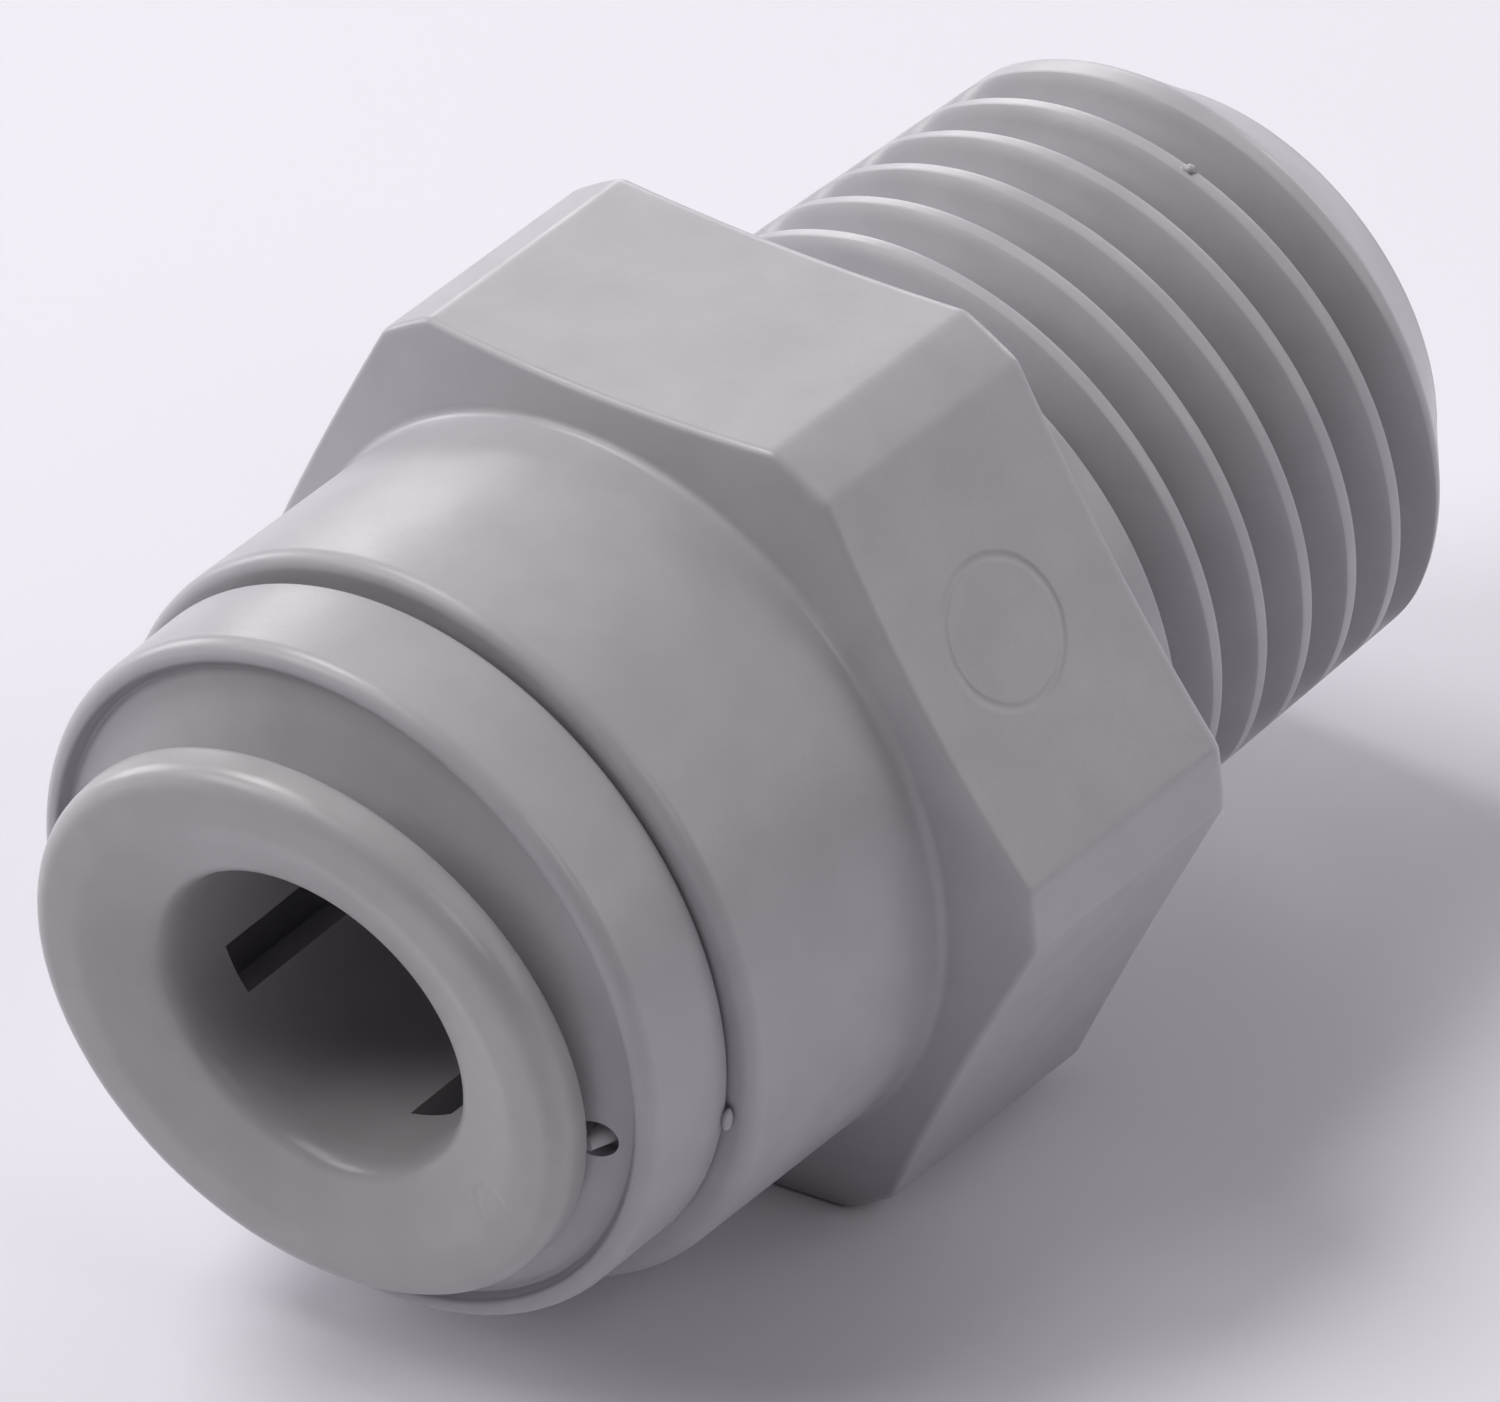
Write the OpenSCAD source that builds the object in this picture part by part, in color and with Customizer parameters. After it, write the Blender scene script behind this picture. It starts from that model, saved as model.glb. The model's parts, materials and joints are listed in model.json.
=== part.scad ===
// Push-fit male adapter: a moulded body with a hexagon and a tapered pipe thread,
// a retaining cap in the mouth of its barrel, and a release collet that slides in the cap.
// The tube goes in along +Y, the thread points to +Y, and the fitting lies on one flat of its hexagon.
// Each piece is drawn about its own Z axis, with Z = 0 on the shoulder between hexagon and thread.
// rest() then lays that axis along +Y, with the origin under the middle of the fitting.

/* [Hexagon and barrel] */
// Width across the flats of the hexagon
hex_af = 17; // [16.4:0.1:19]
// Diameter across the rounded-off corners of the hexagon
hex_corner_d = 18.9; // [18.2:0.1:19.3]
// Length of the hexagon along the axis
hex_len = 6; // [5.4:0.1:8]
// Fall of the conical front face of the hexagon out to its corners
hex_front_fall = 0.42; // [0.1:0.02:0.8]
// Outer diameter of the barrel
barrel_d = 15.3; // [15:0.05:15.9]
// Length of the barrel in front of the hexagon
barrel_len = 5.5; // [5:0.1:7]
// Radius on the front edge of the barrel
barrel_round = 0.3; // [0.1:0.05:0.4]
// Radius of the fillet between barrel and hexagon
barrel_fillet = 0.2; // [0.1:0.05:0.3]
// Radius of the round mould mark on one flat
mark_r = 1.42; // [0.8:0.02:2]
// Depth of the round mould mark
mark_depth = 0.07; // [0.02:0.01:0.2]

/* [Male thread] */
// Outside diameter of the thread at the shoulder
thread_d = 13.8; // [13.2:0.05:14.4]
// Distance from one crest of the thread to the next
thread_pitch = 1.411; // [1.3:0.001:1.6]
// Length of the thread
thread_len = 12; // [9:0.1:14]
// Radial depth of the thread
thread_depth = 1; // [0.7:0.02:1.05]
// Width of the flat on the crest
crest_w = 0.16; // [0.1:0.01:0.2]
// Loss of diameter for each unit of length
thread_taper = 0.0625; // [0.03:0.0005:0.08]
// Diameter of the end of the thread
tip_d = 10.26; // [9.8:0.02:11.6]
// Length of the conical lead-in at the end of the thread
lead_len = 1.75; // [1.2:0.05:2.5]
// Length along the axis over which the groove runs out in front of the lead-in
fade_len = 0.5; // [0.2:0.05:1]

/* [Tube and waterway] */
// Outside diameter of the tube that the fitting takes
tube_d = 6.35; // [6:0.05:6.6]
// Clearance on diameter between tube and bores
tube_clear = 0.15; // [0.05:0.01:0.3]
// Bore of the waterway behind the tube stop
water_d = 5; // [4:0.1:5.4]
// Distance of the tube stop behind the shoulder
stop_z = 1; // [0.5:0.1:3]
// Chamfer at the end of the waterway
water_chamfer = 0.5; // [0.2:0.05:0.8]

/* [Sealing ring] */
// Diameter of the ring's section
seal_w = 1.74; // [1.6:0.02:1.8]
// Distance that the ring stands into the tube's path, on radius
seal_squeeze = 0.15; // [0.05:0.01:0.25]
// Length of the ring's seat
seal_seat_len = 2; // [1.9:0.05:2.4]

/* [Retaining cap] */
// Outer diameter of the flange where it meets the barrel
cap_d = 14.3; // [14.1:0.05:14.6]
// Outer diameter of the flange behind its front rim
cap_rim_d = 14.06; // [13.8:0.02:14.1]
// Thickness of the flange from the barrel to the crest of its rim
cap_flange = 2.28; // [2:0.02:2.6]
// Radius on the outer edge of the rim
rim_round = 0.33; // [0.2:0.01:0.36]
// Inner diameter of the rim
rim_in_d = 13.28; // [13.16:0.02:13.34]
// Radius on the inner edge of the rim
rim_edge = 0.06; // [0.02:0.01:0.08]
// Radius on the back edge of the flange
cap_back_round = 0.12; // [0.05:0.01:0.2]
// Diameter at the foot of the cone inside the rim
foot_d = 13.04; // [12.9:0.02:13.14]
// Depth of the cone's foot below the crest of the rim
foot_depth = 0.22; // [0.12:0.01:0.3]
// Diameter of the cone's flat nose
nose_d = 11.1; // [10.8:0.05:11.4]
// Distance that the nose stands in front of the rim
nose_stand = 0.47; // [0.3:0.01:0.6]
// Radius on the edge of the nose
nose_round = 0.1; // [0.05:0.01:0.2]
// Outer diameter of the skirt inside the barrel
skirt_d = 12.1; // [11.8:0.02:12.4]
// Length of the skirt
skirt_len = 4; // [3.8:0.05:4.6]
// Chamfer at the end of the skirt
skirt_chamfer = 0.25; // [0.1:0.05:0.4]
// Height of the snap bead round the skirt
bead_h = 0.2; // [0.1:0.01:0.25]
// Distance of the snap bead behind the flange
bead_at = 2.2; // [1.6:0.05:2.3]
// Length of the bead's sloped side
bead_ramp = 1.1; // [0.8:0.05:1.3]
// Length of the throat that guides the collet
throat_len = 1.6; // [1.2:0.05:2.4]
// Chamfer at the front of the throat
throat_chamfer = 0.15; // [0.05:0.01:0.18]
// Depth of the relief behind the throat, on radius
relief = 0.2; // [0.15:0.01:0.3]
// Length of the inner cone that the fingers' heads wedge in
cone_len = 1.4; // [1.2:0.05:1.8]

/* [Release collet] */
// Outer diameter of the flange
collet_d = 11.84; // [11.6:0.02:12.2]
// Thickness of the flange
collet_flange = 1.1; // [1:0.02:1.4]
// Radius on the front edge of the flange
collet_round = 0.45; // [0.2:0.01:0.6]
// Radius on the back edge of the flange
back_round = 0.2; // [0.1:0.05:0.4]
// Diameter of the flared mouth at the front face
mouth_d = 8.7; // [8:0.05:9.6]
// Depth of the flared mouth
mouth_depth = 0.66; // [0.4:0.02:0.9]
// Width of the eased edge round the mouth
mouth_ease = 0.1; // [0.05:0.01:0.2]
// Wall of the sleeve
sleeve_wall = 0.85; // [0.75:0.01:0.95]
// Distance that the fingers' heads stand out past the sleeve
head_out = 0.74; // [0.6:0.01:0.8]
// Length of the full section of the heads
head_len = 1.2; // [1:0.05:1.4]
// Width of the slots between the fingers
slot_w = 1.05; // [0.6:0.01:1.3]
// Turn of the first slot about the axis, in degrees
slot_turn = -19; // [-45:1:45]
// Solid length of the sleeve between flange and slots
slot_start = 1.1; // [0.5:0.05:2]
// Gap between flange and nose when the collet is pushed home
home_gap = 0.3; // [0.15:0.01:0.5]
// Distance that the collet draws out until its heads wedge in the cap
travel = 1.2; // [0.8:0.05:1.5]

/* [Grip teeth] */
// Thickness of a tooth
tooth_t = 0.25; // [0.2:0.01:0.35]
// Thickness of a tooth at its edge
tooth_edge = 0.1; // [0.05:0.01:0.15]
// Distance that a tooth stands into the tube's path, on radius
tooth_bite = 0.1; // [0.05:0.01:0.2]
// Depth that a tooth is set into its finger, from the bore
tooth_set = 0.6; // [0.4:0.01:0.8]
// Distance that a tooth's edge stands nearer to the tube stop than its root
tooth_forward = 0.35; // [0.1:0.01:0.5]
// Arc that a tooth spans, in degrees
tooth_arc = 44; // [20:1:56]

/* [Clearances] */
// Radial running clearance between collet and throat
run_clear = 0.07; // [0.03:0.01:0.1]
// Clearance between pieces that are fixed together
fit_clear = 0.03; // [0.01:0.01:0.05]
// Clearance between the fingers' heads and what stops them at either end
stop_clear = 0.14; // [0.1:0.01:0.25]

/* [Hidden] */
acetal = [0.70, 0.69, 0.71];
steel = [0.80, 0.80, 0.82];
rubber = [0.10, 0.10, 0.11];
finger_count = 4;
// draft of the flange in degrees
rim_draft = 3.5;
// length that a cut runs past the face it opens
past = 1;
$fn = 96;

// radii that pieces share
bore_r = (tube_d + tube_clear) / 2;
sleeve_r = bore_r + sleeve_wall;
throat_r = sleeve_r + run_clear;
relief_r = throat_r + relief;
head_r = sleeve_r + head_out;
cone_r = head_r + stop_clear;
chamber_r = head_r + 2 * stop_clear;
skirt_r = skirt_d / 2;
cap_bore_r = skirt_r + fit_clear;
collet_r = collet_d / 2;
seal_in_r = tube_d / 2 - seal_squeeze;
seal_seat_r = seal_in_r + seal_w + fit_clear;
// arc by which a tooth's slot is longer than the tooth
slack_arc = 2 * atan(fit_clear / bore_r);

// places along the axis, from the shoulder to the front
hex_front = -hex_len;
mouth_z = hex_front - barrel_len;
flange_back = mouth_z - fit_clear;
rim_z = flange_back - cap_flange;
nose_z = rim_z - nose_stand;
throat_back = nose_z + throat_len;
skirt_end = flange_back + skirt_len;
cone_front = skirt_end - cone_len;
cap_bore_end = skirt_end + fit_clear;
bead_z = flange_back + bead_at;
collet_back = nose_z - home_gap;
collet_face = collet_back - collet_flange;
lip_z = collet_face + mouth_depth;

// the ramps on the fingers' heads lie parallel to the cap's inner cone, one travel behind where they meet it
cone_slope = (cone_r - relief_r) / cone_len;
ramp_from = cone_front + travel + (stop_clear / cos(atan(cone_slope)) - relief - run_clear) / cone_slope;
ramp_to = ramp_from + head_out / cone_slope;
collet_end = ramp_to + head_len;
tooth_z = ramp_to - tooth_forward;
seal_front = collet_end + stop_clear;
seal_back = seal_front + seal_seat_len;
middle = (thread_len + collet_face) / 2;

// thread helix: its strips run between the edges of crest and root, turn after turn
turn_steps = 44;
crest_phase = 0.372;
flank = tan(30);
root_w = thread_pitch - crest_w - 2 * thread_depth * flank;
helix_from = -2 * thread_pitch;
helix_turns = ceil((thread_len - helix_from) / thread_pitch) + 2;
// width kept beside a crest's edge where the lead-in cuts its whole flank away
flank_left = 0.01;

module rest() {
    translate([0, -middle, hex_af / 2]) rotate([-90, 0, 0]) children();
}

module bore(r, z_from, z_to) {
    translate([0, 0, z_from]) cylinder(r = r, h = z_to - z_from);
}

// points along an arc of radius r about [cx, cy]
function arc(cx, cy, r, a_from, a_to, n = 8) =
    [for (i = [0:n]) let (a = a_from + (a_to - a_from) * i / n) [cx + r * cos(a), cy + r * sin(a)]];

// radius of the uncut crests, and of the lead-in
function crest_r(z) = thread_d / 2 - max(0, z) * thread_taper / 2;
lead_z = thread_len - lead_len;
lead_slope = (crest_r(lead_z) - tip_d / 2) / lead_len;
function lead_r(z) = tip_d / 2 + (thread_len - z) * lead_slope;

// distance from the middle of a crest to its edge on the near side (-1) or the far side (1):
// the lead-in cuts the crest down and so makes it wider, more so on its far side
widening = (lead_slope - thread_taper / 2) * flank;
function crest_edge(z, side) = min(
    (thread_pitch - root_w) / 2 - flank_left,
    max(crest_w / 2, (crest_w / 2 + (z - lead_z) * widening) / (1 - side * widening)));

// a turn has four edges: both sides of its crest, then both sides of its root
function edge_offset(edge, z) =
    edge == 0 ? -crest_edge(z, -1) :
    edge == 1 ? crest_edge(z, 1) :
    thread_pitch / 2 + (edge == 2 ? -root_w / 2 : root_w / 2);
function groove_depth(z) = thread_depth * max(0, min(1, (lead_z - z) / fade_len));
function edge_r(edge, z) = min(lead_r(z), crest_r(z) - (edge < 2 ? 0 : groove_depth(z)));
function helix_point(row, step) =
    let (edge = row % 4)
    let (crest_z = helix_from + crest_phase + (floor(row / 4) + step / turn_steps) * thread_pitch)
    let (z = crest_z + edge_offset(edge, crest_z))
    let (a = 360 * step / turn_steps)
    [edge_r(edge, z) * cos(a), edge_r(edge, z) * sin(a), z];
// the last step of a row is the first step of the row one turn up
function helix_at(row, step) = step == turn_steps ? (row + 4) * turn_steps : row * turn_steps + step;

module thread_core() {
    rows = 4 * helix_turns;
    skin = [for (row = [0:rows + 4]) for (step = [0:turn_steps - 1]) helix_point(row, step)];
    low = len(skin);
    high = low + 1;
    ends = [[0, 0, helix_from + thread_pitch / 2], [0, 0, helix_from + (helix_turns + 0.5) * thread_pitch]];
    sides = [for (row = [0:rows - 1]) for (step = [0:turn_steps - 1]) each [
        [helix_at(row, step), helix_at(row + 1, step + 1), helix_at(row, step + 1)],
        [helix_at(row, step), helix_at(row + 1, step), helix_at(row + 1, step + 1)]]];
    low_cap = concat(
        [for (step = [0:turn_steps - 1]) [low, helix_at(0, step), helix_at(0, step + 1)]],
        [for (row = [0:3]) [low, helix_at(row + 1, 0), helix_at(row, 0)]]);
    high_cap = concat(
        [for (step = [0:turn_steps - 1]) [high, helix_at(rows, step + 1), helix_at(rows, step)]],
        [for (row = [0:3]) [high, helix_at(rows + row, 0), helix_at(rows + row + 1, 0)]]);
    intersection() {
        polyhedron(points = concat(skin, ends), faces = concat(sides, low_cap, high_cap), convexity = 10);
        bore(hex_corner_d / 2, -past, thread_len);
    }
}

// hexagon with turned corners and a conical front face
module hexagon() {
    corner_r = hex_corner_d / 2;
    intersection() {
        translate([0, 0, hex_front - past]) cylinder(r = hex_af / sqrt(3), h = hex_len + past, $fn = 6);
        rotate_extrude() polygon([
            [0, hex_front],
            [barrel_d / 2 + barrel_fillet, hex_front],
            [corner_r, hex_front + hex_front_fall],
            [corner_r, 0],
            [0, 0]]);
    }
}

module barrel() {
    barrel_r = barrel_d / 2;
    rotate_extrude() polygon(concat(
        [[0, mouth_z]],
        arc(barrel_r - barrel_round, mouth_z + barrel_round, barrel_round, -90, 0),
        arc(barrel_r + barrel_fillet, hex_front - barrel_fillet, barrel_fillet, 180, 90),
        [[barrel_r + barrel_fillet, hex_front + past], [0, hex_front + past]]));
}

module mould_mark() {
    rotate([0, 0, -30]) translate([hex_af / 2 - mark_depth, 0, -hex_len / 2]) rotate([0, 90, 0])
        cylinder(r = mark_r, h = past);
}

// profile of the snap bead: square towards the mouth, sloped where the skirt goes in
module bead(clear) {
    in_r = skirt_r - bead_h;
    out_r = skirt_r + bead_h + clear;
    rotate_extrude() polygon([
        [in_r, bead_z - clear],
        [out_r, bead_z - clear],
        [out_r, bead_z + bead_h / 2],
        [in_r, bead_z + bead_ramp]]);
}

module body() {
    color(acetal) rest() difference() {
        union() {
            hexagon();
            barrel();
            thread_core();
        }
        bore(cap_bore_r, mouth_z - past, cap_bore_end);
        bead(fit_clear);
        bore(chamber_r, mouth_z, seal_front);
        bore(seal_seat_r, mouth_z, seal_back);
        bore(bore_r, mouth_z, stop_z);
        bore(water_d / 2, mouth_z, thread_len + past);
        translate([0, 0, thread_len - water_chamfer])
            cylinder(r1 = water_d / 2, r2 = water_d / 2 + water_chamfer + past, h = water_chamfer + past);
        mould_mark();
    }
}

module end_cap() {
    nose_tilt = atan((nose_stand + foot_depth) / ((foot_d - nose_d) / 2));
    nose_flat_r = nose_d / 2 - nose_round * tan(nose_tilt / 2);
    color(acetal) rest() union() {
        rotate_extrude() polygon(concat(
            [[throat_r + throat_chamfer, nose_z]],
            arc(nose_flat_r, nose_z + nose_round, nose_round, -90, nose_tilt - 90),
            [[foot_d / 2, rim_z + foot_depth]],
            arc(rim_in_d / 2 + rim_edge, rim_z + rim_edge, rim_edge, -180, -90),
            arc(cap_rim_d / 2 - rim_round, rim_z + rim_round, rim_round, -90, -rim_draft),
            arc(cap_d / 2 - cap_back_round, flange_back - cap_back_round, cap_back_round, -rim_draft, 90),
            [[skirt_r, flange_back],
             [skirt_r, skirt_end - skirt_chamfer],
             [skirt_r - skirt_chamfer, skirt_end],
             [cone_r, skirt_end],
             [relief_r, cone_front],
             [relief_r, throat_back + relief],
             [throat_r, throat_back],
             [throat_r, nose_z + throat_chamfer]]));
        bead(0);
    }
}

// profile of a tooth, set into the finger and leaning towards the tube stop
function tooth_profile(clear) =
    let (root = bore_r + tooth_set)
    let (edge = tube_d / 2 - tooth_bite)
    let (tip = clear > 0 ? bore_r - tooth_set : edge)
    let (lean = tooth_forward * (root - tip) / (root - edge))
    [[root + clear, tooth_z - clear],
     [root + clear, tooth_z + tooth_t + clear],
     [tip, tooth_z + lean + tooth_t + clear],
     [tip, tooth_z + lean + (clear > 0 ? -clear : tooth_t - tooth_edge)]];

function finger_turn(k) = slot_turn + 360 * (k + 0.5) / finger_count;

module tooth_ring(k, clear, span) {
    rotate([0, 0, finger_turn(k) - span / 2]) rotate_extrude(angle = span) polygon(tooth_profile(clear));
}

module collet() {
    color(acetal) rest() difference() {
        rotate_extrude() polygon(concat(
            [[bore_r, lip_z]],
            [[mouth_d / 2 - mouth_ease, collet_face + mouth_ease / 3], [mouth_d / 2, collet_face]],
            arc(collet_r - collet_round, collet_face + collet_round, collet_round, -90, 0),
            arc(collet_r - back_round, collet_back - back_round, back_round, 0, 90),
            [[sleeve_r, collet_back],
             [sleeve_r, ramp_from],
             [head_r, ramp_to],
             [head_r, collet_end],
             [bore_r, collet_end]]));
        for (k = [0:finger_count - 1]) {
            rotate([0, 0, slot_turn + 360 * k / finger_count]) translate([0, -slot_w / 2, collet_back + slot_start])
                cube([head_r + past, slot_w, collet_end - collet_back + past]);
            tooth_ring(k, fit_clear, tooth_arc + slack_arc);
        }
    }
}

module tooth(k) {
    color(steel) rest() tooth_ring(k, 0, tooth_arc);
}

module o_ring() {
    color(rubber) rest() rotate_extrude()
        translate([seal_in_r + seal_w / 2, (seal_front + seal_back) / 2]) circle(d = seal_w);
}

body();
end_cap();
collet();
tooth(0);  // tooth_1
tooth(1);  // tooth_2
tooth(2);  // tooth_3
tooth(3);  // tooth_4
o_ring();
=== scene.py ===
"""Looks of a push-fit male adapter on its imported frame: its moulded pieces, their finishes and the studio.

Lengths are in mm about the fitting's own axis, with z = 0 on the shoulder between hexagon and thread.
place() turns them into metres in the row frame, where that axis lies along +Y.
"""
import json
import math
from functools import partial

import bmesh
import bpy
import numpy as np
from mathutils import Matrix, Vector

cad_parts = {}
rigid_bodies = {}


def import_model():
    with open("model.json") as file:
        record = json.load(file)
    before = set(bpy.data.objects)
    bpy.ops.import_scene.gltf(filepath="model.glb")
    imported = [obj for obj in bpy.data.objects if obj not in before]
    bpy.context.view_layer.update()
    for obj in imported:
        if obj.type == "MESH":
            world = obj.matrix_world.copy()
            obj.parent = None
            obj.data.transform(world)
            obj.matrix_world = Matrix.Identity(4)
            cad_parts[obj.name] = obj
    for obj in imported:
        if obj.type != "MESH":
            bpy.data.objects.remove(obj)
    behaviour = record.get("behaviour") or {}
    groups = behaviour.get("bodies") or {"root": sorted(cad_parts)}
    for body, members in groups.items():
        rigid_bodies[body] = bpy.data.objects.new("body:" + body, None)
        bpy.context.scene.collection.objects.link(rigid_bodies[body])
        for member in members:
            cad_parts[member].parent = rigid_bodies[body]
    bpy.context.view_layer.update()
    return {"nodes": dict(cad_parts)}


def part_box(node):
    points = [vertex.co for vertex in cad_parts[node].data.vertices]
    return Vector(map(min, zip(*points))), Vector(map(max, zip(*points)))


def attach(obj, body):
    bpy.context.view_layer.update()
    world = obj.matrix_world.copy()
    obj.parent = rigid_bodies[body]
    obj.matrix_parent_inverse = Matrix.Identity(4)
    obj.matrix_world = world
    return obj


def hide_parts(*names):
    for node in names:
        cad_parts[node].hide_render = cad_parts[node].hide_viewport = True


for leftover in list(bpy.data.objects):
    bpy.data.objects.remove(leftover)
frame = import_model()

MM = 0.001
TURN = 2 * math.pi
# how close a supporting row lies to an edge, so that the shading beside it stays flat
CLOSE = 0.03
# points of a piece that are nearer to each other than this become one
WELD = 2e-4

# sizes of the fitting, as in the solids
HEX_FLAT_R = 8.5
HEX_CORNER_R = 9.45
HEX_LEN = 6.0
HEX_FRONT_FALL = 0.42
BARREL_R = 7.65
BARREL_FRONT = -11.5
BARREL_ROUND = 0.3
BARREL_FILLET = 0.2
THREAD_R = 6.9
THREAD_LEN = 12.0
PITCH = 1.411
THREAD_DEPTH = 1.0
CREST_W = 0.32
TAPER = 0.0625 / 2
TIP_R = 5.13
LEAD_LEN = 1.75
FADE_LEN = 0.5
CREST_PHASE = 0.372
FLANK = math.tan(math.radians(30))
BORE_R = 3.25
WATER_R = 2.5
WATER_CHAMFER = 0.5
STOP_Z = 1.0
SEAL_BACK = -2.961
SEAL_FRONT = -4.961
SEAL_SEAT_R = 4.795
CHAMBER_R = 5.12
SKIRT_R = 6.05
FIT_CLEAR = 0.03
BEAD_H = 0.2
BEAD_Z = -9.33
BEAD_RAMP = 1.1

# softened edges that the mould gives, smaller than the solids need
HEX_EDGE = 0.16
HEX_BACK_EDGE = 0.24
CORNER_BLEND = 0.018
CREST_SOFT = 0.14
ROOT_SOFT = 0.25
LEAD_SOFT = 0.12
TIP_EDGE = 0.1
SHOULDER_GAP = 0.02
# the hexagon's back edge stands this proud of the shoulder, in the middle of a flat and at a corner
HEX_BACK_FLAT = 0.03
HEX_BACK_CORNER = 0.18
# the mould parts along this plane, and the grooves are filled beside it: wholly up to the first of these
# sines of the angle off it and not at all from the second. The fill lies this far below the crest
PARTING = math.radians(135.3)
PARTING_FULL = 0.05
PARTING_CLEAR = 0.3
PARTING_DROP = 0.1
# between the shoulder and the first crest that shows, the groove is filled about the first of these angles:
# all of it as far as the second to either side, none of it past the third
START_MIDDLE = math.radians(20.0)
START_FULL = math.radians(35.0)
START_CLEAR = math.radians(60.0)
# a burr on one crest: its place and its half lengths outwards, along and around
BURR_R = 6.62
BURR_Z = 8.66
BURR_TURN = 68.9
BURR_HALVES = (0.11, 0.11, 0.11)

# where the body's rows lie: on the barrel, as shares of the hexagon's front face and side, on the thread's
# end face, and from the middle of a crest to the root beside it
BARREL_ROWS = (-10.0, -8.0)
HEX_FRONT_SHARES = (0.03, 0.25, 0.5, 0.75, 0.94, 1.0)
HEX_SIDE_SHARES = (0.008, 0.12, 0.3, 0.5, 0.7, 0.88, 0.992)
END_MIDDLE_R = 4.0
CREST_STEPS = [0.0, 0.06, 0.1, 0.14, 0.2, 0.3, 0.42, 0.54, 0.61, 0.66]

# cap, its throat wide enough for the leaning collet
FLANGE_BACK = -11.53
SKIRT_END = -7.53
SKIRT_CHAMFER = 0.25
CAP_R = 7.19
CAP_RIM_R = 7.17
RIM_Z = -13.81
RIM_ROUND = 0.33
RIM_EDGE = 0.08
RIM_IN_R = 6.74
RIM_DRAFT = 3.5
CAP_BACK_ROUND = 0.12
FOOT_R = 6.62
FOOT_DEPTH = 0.22
NOSE_R = 4.9
NOSE_Z = -14.3
NOSE_ROUND = 0.1
THROAT_R = 4.45
THROAT_CHAMFER = 0.15
THROAT_BACK = -12.68
RELIEF_R = 4.6
CONE_R = 4.98
CONE_FRONT = -8.93
CAP_COLUMNS = 288
# the round in the crease between cone and rim: radius, how far its middle lies in from the foot and in front
# of it, and the angle where it ends
FOOT_ROUND = 0.06
FOOT_IN = 0.02
FOOT_FORWARD = 0.07
FOOT_END = 20
# the mould's gate in the cap's front, with its torn stump: radius behind, radius in front and length of each
GATE_R = 5.92
GATE_Z = -13.95
GATE_TURN = -11.5
GATE_HOLE = (0.4, 0.44, 1.0)
STUMP = (0.3, 0.12, 0.75)
STUMP_SUNK = 0.2
# a bit of flash on the seam behind the cap
FLASH_Z = -11.62
FLASH_TURN = -13.3
FLASH_HALVES = (0.1, 0.1, 0.27)

# collet
COLLET_R = 5.96
COLLET_FACE = -15.66
COLLET_BACK = -14.68
COLLET_ROUND = 0.45
COLLET_BACK_ROUND = 0.2
# radius and depth behind the face, from the face's crest in to the bore
MOUTH = [(5.1, 0.0), (4.86, 0.012), (4.6, 0.08), (4.35, 0.165), (4.1, 0.25), (3.88, 0.33),
         (3.68, 0.405), (3.52, 0.475), (3.4, 0.58), (3.31, 0.78), (3.25, 1.1)]
# the flange's back is hollow from a little inside its edge to a foot round the sleeve
BACK_HOLLOW = 0.42
HOLLOW_R = 5.3
HOLLOW_IN = 0.4
HOLLOW_LIP = 0.02
SLEEVE_FOOT_WIDTH = 0.2
SLEEVE_FOOT_HEIGHT = 0.05
SLEEVE_R = 4.1
SLEEVE_MIDDLE = -10.5
RAMP_FROM = -7.999
RAMP_TO = -6.301
HEAD_R = 4.84
COLLET_END = -5.101
SLOT_HALF = 0.525
SLOT_FROM = -13.48
SLOT_TURN = 19.0
FINGERS = 4
FINGER_WELD = 0.0005

# cap and collet sit a little askew in the photo: degrees of lean, the side that is pushed in, the point on
# the axis that keeps its place, where the full lean ends, where it has died out, and small shifts outwards
# and aside
CAP_LEAN = {"degrees": 1.56, "towards": -9.75, "hinge": -11.5, "full": -11.5, "ends": -8.0, "push": -0.2,
            "aside": (-0.074, 0.087)}
COLLET_LEAN = {"degrees": 6.65, "towards": -50.0, "hinge": -14.6, "full": -13.2, "ends": -9.0, "push": 0.0,
               "aside": (0.074, -0.036)}

shoulder_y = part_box("body")[1].y / MM - THREAD_LEN
AXIS_H = HEX_FLAT_R


def place(radius, z, theta):
    """Points in metres from radius, place along the axis and angle, in mm and radians."""
    radius, z, theta = np.broadcast_arrays(radius, z, theta)
    return np.stack([radius * np.cos(theta), z + shoulder_y, radius * np.sin(theta) + AXIS_H], -1) * MM


def spot(x, along, up):
    """A place in metres from mm across, along and up from the middle of the shoulder."""
    return (x * MM, (along + shoulder_y) * MM, (up + AXIS_H) * MM)


def on_round(radius, along, degrees):
    """A place at that radius and angle round the axis, in metres."""
    return spot(radius * math.cos(math.radians(degrees)), along, radius * math.sin(math.radians(degrees)))


def arc(cr, cz, radius, start, end, steps=5):
    """Points of an arc in the (radius, z) plane, from angle start to angle end in degrees."""
    turns = np.radians(np.linspace(start, end, steps + 1))
    return [(cr + radius * math.cos(a), cz + radius * math.sin(a)) for a in turns]


def with_supports(profile):
    """The closed profile with a point close to each end of its long sides, to keep their shading flat."""
    out = []
    for (r0, z0), (r1, z1) in zip(profile, profile[1:] + profile[:1]):
        out.append((r0, z0))
        length = math.hypot(r1 - r0, z1 - z0)
        if length > 4 * CLOSE:
            for share in (CLOSE / length, 1 - CLOSE / length):
                out.append((r0 + (r1 - r0) * share, z0 + (z1 - z0) * share))
    return out


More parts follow.
